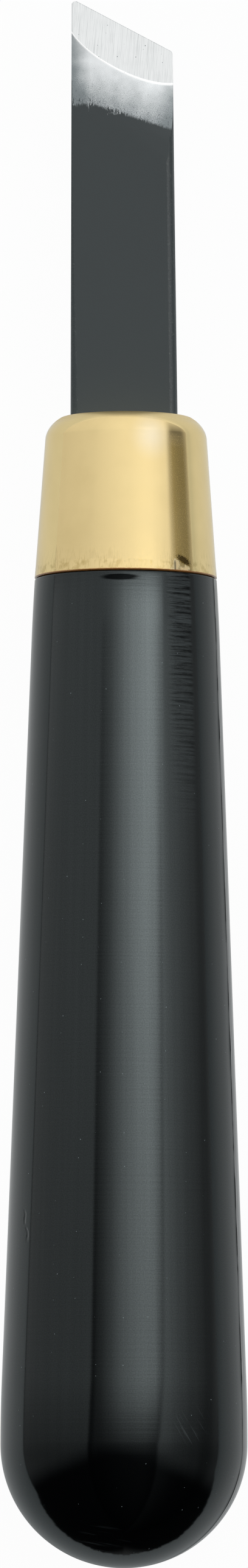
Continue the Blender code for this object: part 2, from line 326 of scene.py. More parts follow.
def moulded_plastic(handle):
    # ABS, moulded in a polished tool: a deep, slightly cool gloss, with faint rings from the turned mould,
    # drag marks where it was pulled from the mould, and the dust, hairlines and knocks of use
    material, add, on_tool = new_material("moulded_abs_gloss_black")
    skin, around, height = unrolled(add, on_tool, handle.butt_radius)

    # Rings of the mould, 0.3 mm apart
    rings = streaks(add, skin, 0.05, 3.3, 3.0)

    # Drag marks round the handle, 5.5 mm long and 0.2 mm apart, on the right and thickest at the ferrule
    drags = streaks(add, skin, 0.18, 4.5, 5.0, 0.65)
    zone = within(add, (height, 60.0, 78.0), (around, 4.5, 5.4), (around, 8.0, 7.6))
    marks = add("MULTIPLY", drags, add("MULTIPLY_ADD", zone, 0.9, 0.03))
    relief = add("MULTIPLY_ADD", rings, 0.045, marks)

    # A wavy, leaning knock in two parts, 2.6 mm long and 0.3 mm wide, on the left
    swing = add("SINE", add("MULTIPLY_ADD", height, 3.9, 2.0))
    beside = add("MULTIPLY_ADD", swing, -0.12, around)
    beside = away_from(add, add("MULTIPLY_ADD", height, 0.3, beside), -1.8)
    along = away_from(add, height, KNOCK)
    knock = add("MapRange", beside, 0.22, 0.08, **SOFT)
    knock = within(add, (along, 1.45, 0.9), (along, 0.05, 0.3), share=knock)
    relief = add("MULTIPLY_ADD", knock, -2.2, relief)
    bump = add("Bump", {"Height": relief, "Distance": 1.6e-5})

    # Dust, up to 0.1 mm across, at most one grain to each 2 mm
    dust = grains(add, skin, 0.5, 0.6, 0.024)

    # Hairline scratches, 0.1 mm wide, across the butt where it was knocked and down the grip
    struck = 0.0
    for place, reach, lean in SCRATCHES:
        slanted = {"Rotation": (0, lean, 0), "Scale": (4.0, 4.0, 0.17)}
        hair = add("Mapping", {"Vector": on_tool, **slanted}, vector_type="TEXTURE")
        hairs = add("TexNoise", {"Vector": hair, "Scale": 1.0, "Detail": 3.0})
        hairs = add("MapRange", hairs, 0.58, 0.7, 0.0, 0.16)
        away = add("VectorMath", on_tool, place, operation="DISTANCE").outputs["Value"]
        spot = add("MapRange", away, reach, 0.5 * reach)
        struck = add("MULTIPLY_ADD", spot, hairs, struck)
    worn = add("ADD", struck, dust, use_clamp=True)
    # The drag strained the plastic, which whitens it
    whitened = add("MapRange", drags, 0.55, 0.35, 0.0, 0.2)
    worn = add("MULTIPLY_ADD", whitened, zone, worn)

    # Flow lines of the moulding, 0.5 mm apart and running up the handle, and a bloom of 0.1 mm on its skin
    flow = streaks(add, skin, 2.0, 0.03, 4.0)
    bloom = add("TexNoise", {"Vector": skin, "Scale": 9.0, "Detail": 1.0}, **FLAT)
    gloss = add("MapRange", add("MULTIPLY_ADD", flow, 0.4, bloom), 0.4, 1.0, 0.43, 0.57)
    torn = add("MapRange", drags, 0.54, 0.61, 0.0, 0.65)
    whole = add("SUBTRACT", 1.0, add("MULTIPLY", torn, zone))
    # Painted shade: a nick in the neck under the ferrule, 3 mm long, loses its gloss and shows black,
    # as a nick too deep to send light back would
    along = add("SUBTRACT", around, NICK[0])
    across = add("MULTIPLY", add("SUBTRACT", height, NICK[1]), 8.2)
    from_nick = add("VectorMath", add("CombineXYZ", along, across), operation="LENGTH").outputs["Value"]
    from_nick = add("MULTIPLY_ADD", drags, 1.5, from_nick)
    clear = add("MapRange", from_nick, 2.2, 3.4, 0.1, 1.0, **SOFT)
    # Painted shade: in places 4 mm apart, a strip 0.3 mm wide along the parting line loses its gloss and is as
    # dark
    cut = add("TexNoise", {"W": height, "Scale": 0.25, "Detail": 2.0}, noise_dimensions="1D")
    cut = add("MapRange", cut, 0.4, 0.55, 0.2, 0.9)
    beside_seam = away_from(add, around, handle.seam_angle * handle.butt_radius / MM)
    painted_seam_shade = add("MapRange", beside_seam, 0.22, 0.1, 0.0, cut)
    for share in (whole, clear, add("SUBTRACT", 1.0, painted_seam_shade)):
        gloss = add("MULTIPLY", gloss, share)

    tone = add("Mix", {0: worn, 6: handle.plastic, 7: linear("#7F898C")}, data_type="RGBA").outputs[2]
    roughness = add("MapRange", worn, 0.0, 1.0, 0.09, 0.5)
    shader = add("BsdfPrincipled", {
        "Base Color": tone, "Roughness": roughness, "IOR": 1.5, "Specular IOR Level": gloss,
        "Specular Tint": linear("#EFFEFF"), "Normal": bump,
    })
    add("OutputMaterial", {"Surface": shader})
    return material


def build_handle():
    handle = bpy.context.scene.lino_handle
    ferrule = bpy.context.scene.lino_ferrule
    radius, top = handle.butt_radius, handle.length
    neck = top - handle.neck_ease
    swing = np.linspace(0, math.pi / 2, 61)[1:]
    heights = np.concatenate([
        radius * (1 - np.cos(swing)),
        radius + handle.butt_ease * np.linspace(0, 1, 9)[1:],
        np.linspace(radius + handle.butt_ease, neck, 60)[1:],
        np.linspace(neck, top - 1.3 * EDGE, 14)[1:],
        [top - EDGE],
    ])
    ball = np.sqrt(np.maximum(radius ** 2 - (radius - heights) ** 2, 0))
    radii = np.where(heights < radius, ball, cone_radius(handle, heights))
    # Closer facets, by degrees from the parting line, which the mould has on both sides
    near_seam = np.array([0, 0.12, 0.25, 0.4, 0.55, 0.75, 1.0, 1.4])
    near_seam = np.radians(np.concatenate([-near_seam[1:], near_seam]))
    angles = np.concatenate([
        np.linspace(0, math.tau, HANDLE_FACETS, endpoint=False),
        (handle.seam_angle + near_seam) % math.tau,
        (handle.seam_angle + math.pi + near_seam) % math.tau,
    ])
    angles = np.unique(np.round(angles, 4))
    count = len(angles)
    rows = []
    for i, (height, r) in enumerate(zip(heights, radii)):
        tilt = swing[i] if i < len(swing) else math.pi / 2
        ridge = parting_ridge(handle, r * np.sin(angles), r * np.cos(angles), height)
        lift = ridge * math.sin(tilt) - handle.skin
        rows.append(ring(angles, r + lift * math.sin(tilt), height - lift * math.cos(tilt)))
    edge = radii[-1] - handle.skin
    spigot = ferrule.wall + SPIGOT_GAP
    inner = (
        (edge - 0.3 * EDGE, top - 0.3 * EDGE),
        (edge - EDGE, top),
        (edge - spigot, top),
        (ferrule.rim_radius - spigot, top + EDGE),
        (ferrule.rim_radius - spigot - math.tan(ferrule.taper) * SPIGOT_LENGTH, top + SPIGOT_LENGTH),
    )
    rows += [ring(angles, r, height) for r, height in inner]
    verts = np.concatenate([[(0, 0, handle.skin)], *rows])
    faces = [((0, 1 + (i + 1) % count, 1 + i), 0) for i in range(count)]
    for row in range(len(rows) - 1):
        low = 1 + row * count
        faces += strip(low, low + count, count)
    faces.append((tuple(range(len(verts) - count, len(verts))), 0))
    materials = [moulded_plastic(handle)]
    add_piece("moulded_handle", "handle", verts, faces, materials, crease=40)


# Places on the ferrule's skin, in millimetres round from its top line and up from the butt: a painted
# highlight, a blot and a crack
HIGHLIGHT_SPOT = (2.4, 92.7, 0)
BLOT = (5.2, 82.5, 0)
CRACK = 4.3


def drawn_brass(ferrule):
    # Yellow brass, drawn over a punch and buffed: a warm mirror, softened by fine pits, with wrinkles from
    # the draw running up from the rim and brown tarnish left in its trimmed lip
    material, add, on_tool = new_material("drawn_brass_buffed")
    skin, around, height = unrolled(add, on_tool, ferrule.rim_radius)
    above_rim = add("SUBTRACT", height, ferrule.rim_height / MM)

    # Pits of the buffed skin, 0.1 mm apart, and a scuffed strip up the right where they scatter light
    pits = add("TexNoise", {"Vector": skin, "Scale": 11.0, "Detail": 2.0}, **FLAT)
    scuffed_and_painted_band = within(add, (around, 3.9, 4.5), (around, 6.3, 5.7), (height, 93.6, 91.8))
    pitted = add("MULTIPLY", add("MapRange", pits, 0.52, 0.7, 0.0, 0.5), scuffed_and_painted_band)
    # Wrinkles, 0.12 mm apart and 0.9 mm long, dying out 2.6 mm above the rim
    wrinkles = streaks(add, skin, 8.0, 1.1, 3.0)
    low = add("MapRange", above_rim, 2.6, 0.6, **SOFT)
    creased = add("MULTIPLY", wrinkles, low)
    bump = add("Bump", {"Height": add("MULTIPLY_ADD", pits, 0.1, creased), "Distance": 4e-6})

    # Tarnish in patches of 0.8 mm on the lip, in the wrinkles and in a faint cloud of 3 mm, and on the strip,
    # where it is partly painted reflection that darkens the band in which the tent's dark side is reflected
    patches = add("TexNoise", {"Vector": skin, "Scale": 1.3, "Detail": 5.0}, **FLAT)
    patches = add("MapRange", patches, 0.48, 0.62, 0.0, 0.3)
    lip = add("MapRange", above_rim, 1.0, 0.75)
    stains_and_painted_band = add("MULTIPLY_ADD", scuffed_and_painted_band, 0.62, add("MULTIPLY", patches, lip))
    cloud = add("TexNoise", {"Vector": skin, "Scale": 0.3, "Detail": 5.0}, **FLAT)
    cloud = add("MapRange", cloud, 0.4, 0.8, 0.0, 0.08)
    lines = add("MULTIPLY", add("MapRange", wrinkles, 0.5, 0.72, 0.0, 0.25), low)
    tarnish_and_painted_band = add("ADD", add("ADD", stains_and_painted_band, cloud), lines, use_clamp=True)
    # A painted highlight, paler, on the shoulder's right, over 2.4 mm
    from_highlight = add("VectorMath", skin, HIGHLIGHT_SPOT, operation="DISTANCE").outputs["Value"]
    rubbed_and_painted_highlight = add("MapRange", from_highlight, 2.4, 0.0, **SOFT)

    # A burnt blot, 1.5 mm long, over the lip on the right, with the lip bent out and rough under it
    slanted = {"Location": BLOT, "Rotation": (0, 0, -0.4), "Scale": (0.75, 0.3, 1)}
    struck = add("Mapping", {"Vector": skin, **slanted}, vector_type="TEXTURE")
    from_blot = add("VectorMath", struck, operation="LENGTH").outputs["Value"]
    from_blot = add("MULTIPLY_ADD", pits, 1.4, from_blot)
    blot = add("MapRange", from_blot, 1.75, 1.55, 0.0, 0.9)
    x, y, _ = add("SeparateXYZ", struck).outputs
    ragged = add("MULTIPLY_ADD", pits, 1.2, y)
    beside = add("ABSOLUTE", x)
    crumpled = add("MapRange", patches, 0.3, 0.0, 0.25, 0.9)
    bent = within(add, (ragged, -0.2, -0.5), (beside, 1.25, 1.1), share=crumpled)
    # The lip cracked left of it, 0.15 mm wide
    crack = add("MULTIPLY", add("MapRange", away_from(add, around, CRACK), 0.12, 0.05, 0.0, 0.6), lip)
    blot = add("MAXIMUM", blot, crack)
    # Painted shade in brown along the rim's foot, where the ferrule meets the handle, 0.2 mm wide
    painted_rim_shade = add("MapRange", add("MULTIPLY_ADD", wrinkles, 0.1, above_rim), 0.23, 0.17)

    tone = ferrule.brass
    for share, code in (
        (rubbed_and_painted_highlight, "#F8E8C4"), (tarnish_and_painted_band, "#9E8232"), (bent, "#FFF0C8"), (blot, "#4A3A1C"),
        (painted_rim_shade, "#B4783A"),
    ):
        tone = add("Mix", {0: share, 6: tone, 7: linear(code)}, data_type="RGBA").outputs[2]
    metal = add("SUBTRACT", 1.0, painted_rim_shade)
    roughness = add("MAXIMUM", add("MapRange", tarnish_and_painted_band, 0.0, 1.0, 0.06, 0.3), pitted)
    # No punch pressed the top of the shoulder smooth, so it is dull
    unpressed = add("MapRange", height, 94.0, 94.5, 0.0, 0.35)
    roughness = add("MAXIMUM", roughness, unpressed)
    roughness = add("MULTIPLY_ADD", bent, 0.65, roughness)
    shader = add("BsdfPrincipled", {
        "Base Color": tone, "Metallic": metal, "Roughness": roughness, "Normal": bump,
    })
    add("OutputMaterial", {"Surface": shader})
    return material


def slot_radius(angles, gap):
    """How far from the axis a ray meets the slot that the blade passes through."""
    blade = bpy.context.scene.lino_blade
    rounding = blade.edge_round + gap
    half = np.array([blade.width / 2, blade.thickness / 2]) + gap - rounding
    middle = np.array([blade.set_over, 0.0])
    rays = np.stack([np.sin(angles), -np.cos(angles)], 1)
    low, high = np.zeros(len(angles)), np.full(len(angles), blade.width)
    for _ in range(HALVINGS):
        reach = (low + high) / 2
        out = np.abs(rays * reach[:, None] - middle) - half
        inside = np.linalg.norm(np.maximum(out, 0), axis=1) < rounding
        low, high = np.where(inside, reach, low), np.where(inside, high, reach)
    return low


def cap_side(ferrule, inset, steps):
    """Radii and heights up the cap's outside and over its shoulder, or of its inside at that inset."""
    slope = math.tan(ferrule.taper)
    across, rise = ferrule.shoulder - inset, ferrule.shoulder_height - inset
    start = math.atan(slope * rise / across)
    end = math.atan(math.tan(ferrule.shoulder_end) * rise / across)
    centre_height = ferrule.rim_height + ferrule.length - ferrule.top_ease - inset - rise * math.sin(end)

    def side(height):
        return ferrule.rim_radius - slope * (height - ferrule.rim_height) - inset / math.cos(ferrule.taper)

    centre_radius = side(centre_height + rise * math.sin(start)) - across * math.cos(start)
    swing = np.linspace(start, end, steps)
    arc = np.stack([centre_radius + across * np.cos(swing), centre_height + rise * np.sin(swing)], 1)
    low = ferrule.rim_height + EDGE
    lip_top = ferrule.rim_height + ferrule.lip
    above_lip = lip_top + 0.4 * ferrule.lip
    climb = np.concatenate([np.linspace(low, above_lip, 24), np.linspace(above_lip, arc[0, 1], 40)[1:-1]])
    return np.concatenate([np.stack([side(climb), climb], 1), arc])


def lip_flare(ferrule, height, angles):
    """How far the trimmed lip stands out, unevenly round the rim."""
    waves = ((3, 0.2), (7, 0.15), (17, 0.15), (31, 0.1))
    uneven = sum(share * np.sin(turns * angles + turns ** 2) for turns, share in waves)
    top = ferrule.lip * (1 + 0.15 * uneven)
    over_rim = height - ferrule.rim_height
    return ferrule.lip_flare * (1 + uneven) * np.clip(1 - over_rim / top, 0, 1)


def build_ferrule():
    ferrule = bpy.context.scene.lino_ferrule
    angles = np.linspace(0, math.tau, FERRULE_FACETS, endpoint=False)
    count = len(angles)
    outside = cap_side(ferrule, 0.0, 36)
    inside = cap_side(ferrule, ferrule.wall, 12)
    rim, top = ferrule.rim_height, ferrule.rim_height + ferrule.length
    slot = slot_radius(angles, SLOT_GAP)
    rim_flare = lip_flare(ferrule, rim, angles)
    rings = [
        (inside[0, 0], rim + 0.3 * EDGE),
        (inside[0, 0] + EDGE, rim),
        (outside[0, 0] - 1.6 * EDGE + rim_flare, rim),
        (outside[0, 0] - 0.6 * EDGE + rim_flare, rim + 0.3 * EDGE),
    ]
    rings += [(r + lip_flare(ferrule, h, angles), h) for r, h in outside]
    ease = ferrule.top_ease
    edge = outside[-1, 0] - 2 * ease
    rings += [(edge + ease, top - 0.3 * ease), (edge, top)]
    rings += [(edge + (slot + 1.2 * EDGE - edge) * share, top) for share in (0.4, 0.8, 1.0)]
    rings += [(slot + 0.4 * EDGE, top - 0.3 * EDGE), (slot, top - 1.2 * EDGE), (slot, top - ferrule.wall)]
    rings += list(inside[::-1])
    verts = np.concatenate([ring(angles, r, h) for r, h in rings])
    faces = []
    for row in range(len(rings)):
        faces += strip(row * count, (row + 1) % len(rings) * count, count)
    add_piece("drawn_ferrule", "ferrule", verts, faces, [drawn_brass(ferrule)], crease=40)


def coated_steel(blade):
    # Tool steel with a matte dark coat, baked on: blue grey, with a skin like orange peel where it drew back
    # from the rounded edges, and bare sparks of metal where it was rubbed there
    material, add, on_tool = new_material("baked_coat_on_steel")
    # Orange peel, 0.15 mm from crest to crest
    peel = add("TexNoise", {"Vector": on_tool, "Scale": 6.5, "Detail": 3.0})
    bump = add("Bump", {"Height": peel, "Distance": 2.5e-5})
    # Sparks, 0.25 mm apart
    sparks = add("TexNoise", {"Vector": on_tool, "Scale": 4.0, "Detail": 6.0, "Roughness": 0.7})
    rubbed_and_painted_highlight = add("MapRange", sparks, 0.56, 0.72)
    tone = add("Mix", {0: rubbed_and_painted_highlight, 6: blade.coat, 7: linear("#59625F")}, data_type="RGBA").outputs[2]
    roughness = add("MapRange", rubbed_and_painted_highlight, 0.0, 1.0, 0.36, 0.28)
    shader = add("BsdfPrincipled", {"Base Color": tone, "Roughness": roughness, "IOR": 1.5, "Normal": bump})
    add("OutputMaterial", {"Surface": shader})
    return material


# Where the coat ends: its height up from the butt at the axis and at most, in millimetres, and its slope
COAT_END = 120.2
COAT_HIGHEST = 121.1
COAT_SLOPE = -0.32


def ground_face(blade):
    # The same coat, ground off towards the heel: satin steel with painted shade, brightest at the heel and
    # greyer towards the coat and the sides, a painted highlight along the heel, and pits and a ragged line of
    # coat left in them
    material, add, on_tool = new_material("coat_ground_back_to_steel")
    flat, x, z = laid_flat(add, on_tool)

    # The coat's edge slants across the blade and is drawn out in fingers 0.12 mm wide, longest on the left
    line = add("MINIMUM", add("MULTIPLY_ADD", x, COAT_SLOPE, COAT_END), COAT_HIGHEST)
    fingers = streaks(add, flat, 8.0, 2.2, 5.0, 0.65)
    length = add("MapRange", x, -4.0, 1.5, 2.6, 0.5)
    tufts = add("TexNoise", {"Vector": flat, "Scale": 0.9, "Detail": 1.0}, **FLAT)
    tufts = add("MapRange", tufts, 0.4, 0.65, 0.25, 1.6)
    length = add("MULTIPLY", length, tufts)
    edge = add("MULTIPLY_ADD", add("SUBTRACT", fingers, 0.5), length, line)
    coated = add("MapRange", add("SUBTRACT", z, edge), 0.12, -0.1)

    # Pits where the coat stays, 0.05 to 0.2 mm across, more of them towards the coat
    pits = add("TexNoise", {"Vector": flat, "Scale": 6.5, "Detail": 5.0, "Roughness": 0.68}, **FLAT)
    over_line = add("SUBTRACT", z, line)
    deep = add("MapRange", over_line, 3.0, 0.0, 0.7, 0.58)
    pitted = add("MapRange", add("SUBTRACT", pits, deep), 0.0, 0.05, 0.0, 0.7)
    left_on = add("MAXIMUM", coated, pitted)

    # Painted shade greys the steel towards the coat and the blade's sides, and its tone varies
    # in clouds of 1 mm and a grain of 0.05 mm
    away = add("MapRange", over_line, 3.6, 0.0, 0.0, 0.85)
    left = add("MapRange", x, -3.0, -4.6, 0.0, 0.85)
    right = add("MapRange", x, 2.2, 4.15, 0.0, 0.7)
    painted_shade_and_grain = add("ADD", away, add("ADD", left, right))
    grain = add("TexNoise", {"Vector": flat, "Scale": 20.0, "Detail": 1.0, "Roughness": 0.7}, **FLAT)
    grain = add("MapRange", grain, 0.3, 0.7, -0.35, 0.35)
    rising = add("MULTIPLY_ADD", away, 0.7, 0.3)
    cloud = add("TexNoise", {"Vector": flat, "Scale": 0.8, "Detail": 4.0}, **FLAT)
    cloud = add("MapRange", cloud, 0.3, 0.7, -0.1, 0.12)
    grain = add("ADD", add("MULTIPLY", grain, rising), cloud)
    painted_shade_and_grain = add("ADD", painted_shade_and_grain, grain, use_clamp=True)
    # Painted highlight along the heel, 0.1 mm wide and softly into the face behind it
    behind_heel = add("Attribute", attribute_name="behind_heel").outputs["Fac"]
    painted_heel_highlight = add("MapRange", behind_heel, 0.24, 0.02, **SOFT)
    tone = linear("#E0E3E4")
    for share, over_it in ((painted_shade_and_grain, linear("#7E8587")), (painted_heel_highlight, WHITE), (left_on, blade.coat)):
        tone = add("Mix", {0: share, 6: tone, 7: over_it}, data_type="RGBA").outputs[2]
    metal = add("SUBTRACT", 1.0, left_on)
    roughness = add("MapRange", left_on, 0.0, 1.0, 0.42, 0.5)
    bump = add("Bump", {"Height": pits, "Distance": 4e-6})
    shader = add("BsdfPrincipled", {
        "Base Color": tone, "Metallic": metal, "Roughness": roughness, "IOR": 1.5, "Normal": bump,
    })
    add("OutputMaterial", {"Surface": shader})
    return material


def ground_steel(blade):
    # Tool steel fresh from a fine wheel: pale and bright, with close scratches up the blade and a few specks
    material, add, on_tool = new_material("wheel_ground_steel")
    flat, x, _ = laid_flat(add, on_tool)
    # The wheel's scratches are about 0.02 mm apart, drawn here at 0.05 mm so that they show, a little askew
    slanted = {"Rotation": (0, 0, math.radians(-4)), "Scale": (0.05, 4.0, 1)}
    scratched = add("Mapping", {"Vector": flat, **slanted}, vector_type="TEXTURE")
    lines = add("TexNoise", {"Vector": scratched, "Scale": 1.0, "Detail": 3.0, "Roughness": 0.6}, **FLAT)
    smudges = add("TexNoise", {"Vector": flat, "Scale": 0.9, "Detail": 6.0}, **FLAT)
    worked = add("MULTIPLY_ADD", smudges, 0.16, lines)
    dark_lines = add("MapRange", worked, 0.54, 0.86, 0.0, 0.45)
    # Specks of rust, up to 0.1 mm across, at most one to each 0.8 mm
    dark = grains(add, flat, 1.3, 0.5, 0.06)
    # Painted shade greys the cutting edge, rolled over a hair's width, and the left side
    behind_edge = add("Attribute", attribute_name="behind_edge").outputs["Fac"]
    nicked = add("MULTIPLY_ADD", lines, -0.3, behind_edge)
    painted_edge_shade = add("MapRange", nicked, -0.08, -0.14, 0.0, 0.55)
    painted_left_shade = add("MapRange", x, -4.5, -4.58, 0.0, 0.5)
    for share in (dark_lines, painted_edge_shade, painted_left_shade):
        dark = add("MAXIMUM", dark, share)
    tone = add("Mix", {0: dark, 6: blade.steel, 7: linear("#8F9596")}, data_type="RGBA").outputs[2]
    bump = add("Bump", {"Height": lines, "Distance": 2e-6})
    shader = add("BsdfPrincipled", {"Base Color": tone, "Metallic": 1.0, "Roughness": 0.3, "Normal": bump})
    add("OutputMaterial", {"Surface": shader})
    return material


# How far behind the cutting edge the ground faces are looked for
GROUND_REACH = 12 * MM


class BladeShape:
    """Heights of the blade's faces above its flat back, from its settings."""

    def __init__(self, blade, foot, tip):
        self.s, self.foot = blade, foot
        self.sine, self.cosine = math.sin(blade.skew), math.cos(blade.skew)
        self.left = blade.set_over - blade.width / 2
        self.back = blade.thickness / 2
        # The tip's corner as it would be if it were sharp, and how far its rounding runs from there
        self.corner_run = blade.corner / math.tan((math.pi / 2 - blade.skew) / 2)
        self.corner_z = tip - blade.corner + self.corner_run
        self.half_edge = blade.width / (2 * self.cosine)
        self.heel = blade.land + blade.bevel_width * math.tan(blade.bevel)
        self.run_out = blade.bevel_width + blade.relief_length
        crown_z = self.corner_z - (self.half_edge + blade.relief_set_over) * self.sine
        run_z = crown_z - self.run_out * self.cosine
        self.relief_slope = (self.thickness(run_z) - self.heel) / blade.relief_length

    def share(self, z):
        return (z - self.foot) / self.s.length

    def right(self, z):
        return self.left + self.s.width + (self.s.tip_width - self.s.width) * self.share(z)

    def thickness(self, z):
        return self.s.thickness + (self.s.tip_thickness - self.s.thickness) * self.share(z)

    def inset(self, height, z, left):
        """How far a long edge's roundings draw in at a height above the back. All but the right front one
        sharpen."""
        worn = self.s.edge_round * np.maximum(1 - self.share(z), 0.12) ** self.s.sharpening
        front = worn if left else np.full_like(worn, self.s.edge_round)
        low = np.clip(worn - height, 0, worn)
        high = np.clip(front - (self.thickness(z) - height), 0, front)
        return worn - np.sqrt(worn ** 2 - low ** 2) + front - np.sqrt(front ** 2 - high ** 2)

    def side_x(self, height, z, left):
        inset = self.inset(height, z, left)
        return self.left + inset if left else self.right(z) - inset

    def line_z(self, x):
        return self.corner_z - (x - self.left) * math.tan(self.s.skew)

    def edge_z(self, x):
        """The cutting edge, rounded at the tip's corners."""
        corner, sine = self.s.corner, self.sine
        off = x - self.left - corner
        rounded = self.corner_z - self.corner_run + np.sqrt(np.maximum(corner ** 2 - off ** 2, 0))
        edge = np.where(off < corner * sine, rounded, self.line_z(x))
        middle = self.right(self.line_z(self.left + self.s.tip_width)) - corner
        off = x - middle
        foot = self.line_z(middle) - corner / self.cosine
        return np.where(off > corner * sine, foot + np.sqrt(np.maximum(corner ** 2 - off ** 2, 0)), edge)

    def behind_edge(self, x, z):
        """Distance back from the cutting edge's line, and along it from the relief's crown."""
        back = (self.line_z(x) - z) * self.cosine
        along = (x - self.left) * self.cosine - (z - self.corner_z) * self.sine
        return back, along - self.half_edge - self.s.relief_set_over

    def bevel(self, x, z):
        return self.s.land + self.behind_edge(x, z)[0] * math.tan(self.s.bevel)

    def relief(self, x, z):
        back, along = self.behind_edge(x, z)
        fade = np.maximum(self.run_out - back, 0) / self.s.relief_length
        fall = self.s.relief_crown * fade * (along / self.half_edge) ** 2
        return self.heel + self.relief_slope * (back - self.s.bevel_width) - fall

    def front(self, x, z):
        return np.minimum(np.minimum(self.bevel(x, z), self.relief(x, z)), self.thickness(z))

    def crossing(self, lower, upper, x):
        """The height up the tool where one face passes the other, by halving."""
        near, far = self.line_z(x), self.line_z(x) - GROUND_REACH
        for _ in range(HALVINGS):
            middle = (near + far) / 2
            before = lower(x, middle) < upper(x, middle)
            near, far = np.where(before, middle, near), np.where(before, far, middle)
        return near


def build_blade():
    ferrule = bpy.context.scene.lino_ferrule
    blade = bpy.context.scene.lino_blade
    foot = ferrule.rim_height + ferrule.length
    shape = BladeShape(blade, foot, foot + blade.length)
    bottom = foot - ferrule.wall
    grid = np.linspace(shape.left - 1 * MM, shape.left + blade.width + 1 * MM, 400)
    heel = shape.crossing(shape.bevel, shape.relief, grid)
    run_out = shape.crossing(shape.relief, lambda x, z: shape.thickness(z), grid)

    def row_z(kind, share, x):
        edge, at_heel, at_end = shape.edge_z(x), np.interp(x, grid, heel), np.interp(x, grid, run_out)
        start, end = {"bevel": (edge, at_heel), "relief": (at_heel, at_end), "coat": (at_end, bottom)}[kind]
        return start + share * (end - start)

    rows = [("bevel", s) for s in (0, 0.01, 0.03, 0.06, *np.linspace(0.1, 1, 12))]
    rows += [("relief", s) for s in (0.012, 0.03, *np.linspace(0.06, 1, 16))]
    rows += [("coat", s) for s in np.linspace(0, 1, 41)[1:]]
    # Points across a face and up a side, which crowd to the edges
    across, around = 72, 18
    share = np.linspace(0, 1, across)
    share -= 0.14 * np.sin(math.tau * share)
    climb = (1 - np.cos(np.linspace(0, math.pi, around + 2))) / 2
    rings = []
    for kind, part in rows:
        sides = []
        for on_left in (False, True):
            z = np.full(1, row_z(kind, part, np.array([shape.left]))[0])
            height = shape.thickness(z)
            for _ in range(SETTLING):
                x = shape.side_x(height, z, on_left)
                z = row_z(kind, part, x)
                height = np.minimum(shape.front(x, z), shape.thickness(z))
            heights = climb * height
            x = shape.side_x(heights, z, on_left)
            sides.append(np.stack([x, shape.back - heights, row_z(kind, part, x)], 1))
        right, left = sides
        x = left[0, 0] + share * (right[0, 0] - left[0, 0])
        back = np.stack([x, np.full(across, shape.back), row_z(kind, part, x)], 1)
        x = right[-1, 0] + share * (left[-1, 0] - right[-1, 0])
        z = row_z(kind, part, x)
        front = np.stack([x, shape.back - shape.front(x, z), z], 1)
        front[0], front[-1] = right[-1], left[-1]
        rings.append(np.concatenate([back, right[1:-1], front, left[1:-1][::-1]]))
    count = len(rings[0])
    verts = np.concatenate(rings)
    first, last = across + around - 1, 2 * across + around - 1
    faces = [(tuple(range(count)), 0)]
    for row in range(len(rings) - 1):
        finish = 2 if rows[row + 1][0] == "bevel" else 1
        for i, (face, _) in enumerate(strip(row * count, (row + 1) * count, count)):
            faces.append((face[::-1], finish if first < i < last else 0))
    faces.append((tuple(range(len(verts) - 1, len(verts) - count - 1, -1)), 0))
    materials = [coated_steel(blade), ground_face(blade), ground_steel(blade)]
    behind_edge = shape.behind_edge(verts[:, 0], verts[:, 2])[0] / MM
    at_heel = np.interp(verts[:, 0], grid, heel)
    behind_heel = behind_edge - shape.behind_edge(verts[:, 0], at_heel)[0] / MM
    marks = [("behind_edge", behind_edge), ("behind_heel", behind_heel)]
    add_piece("ground_blade", "blade", verts, faces, materials, crease=13, marks=marks)


# The sheet's left, right, near and far ends, and a dark strip past its left, painted shade of the sheet's edge
# for the tool's reflections: its width and its far end
PAPER = (-0.056, 0.107, -0.086, 0.4)
SHADE_STRIP = 0.003
SHADE_STRIP_END = 0.029


def white_to_camera(add, paint, share):
    """Ends a material in a matt colour, with plain white over it by a share."""
    lit = add("BsdfDiffuse", {"Color": paint})
    white = add("Emission", {"Color": WHITE, "Strength": 1.0})
    add("OutputMaterial", {"Surface": add("MixShader", share, lit, white)})


def build_paper(stage):
    """A white sheet under the tool. The camera sees it as white paper that still takes a faint shadow."""
    sheet = bpy.data.meshes.new("paper_sheet")
    left, right, near, far = PAPER
    # Its near edge is torn
    torn = np.linspace(left, right, 400)
    ragged = sum(np.sin(torn * turns + turns) for turns in (310, 730, 1910, 4400, 7900)) * 0.5 * MM
    corners = [(x, near + off, 0) for x, off in zip(torn, ragged)] + [(right, far, 0), (left, far, 0)]
    aside = left - SHADE_STRIP
    shade_strip = [(left, near, 0), (left, SHADE_STRIP_END, 0), (aside, SHADE_STRIP_END, 0), (aside, near, 0)]
    faces = [tuple(range(len(corners))), tuple(range(len(corners), len(corners) + len(shade_strip)))]
    sheet.from_pydata(corners + shade_strip, [], faces)

    # Matt uncoated paper: an even white. To the tool's reflections it also glows plain white, more by the butt
    # and towards the tip, away from the tool's own shadow: painted light
    material = bpy.data.materials.new("matt_white_paper")
    add = new_tree(material)
    x, y, _ = add("SeparateXYZ", add("NewGeometry").outputs["Position"]).outputs
    along = add("ADD", y, add("MapRange", x, 0.0, 0.025, 0.0, 0.02))
    by_butt = within(add, (along, -0.072, -0.045), (x, 0.09, 0.03), share=0.4)
    by_tip = add("MapRange", y, 0.015, 0.1, 0.0, 0.72)
    share = add("MAXIMUM", by_butt, by_tip)
    ray = add("LightPath")
    painted_glow_in_reflections = add("MULTIPLY", ray.outputs["Is Glossy Ray"], share)
    seen = add("MULTIPLY_ADD", ray.outputs["Is Camera Ray"], 0.97, painted_glow_in_reflections)
    white_to_camera(add, stage.paper, seen)
    sheet.materials.append(material)

    # Painted shade: a dark strip past the sheet, for the shade at its edge in the tool's reflections, but
    # white to the camera like the rest of the ground
    material = bpy.data.materials.new("painted_shade_strip")
    add = new_tree(material)
    white_to_camera(add, linear("#5A5D5E"), add("LightPath").outputs["Is Camera Ray"])
    sheet.materials.append(material)

    sheet.polygons.foreach_set("material_index", [0, 1])
    paper = bpy.data.objects.new("paper_sheet", sheet)
    bpy.context.scene.collection.objects.link(paper)


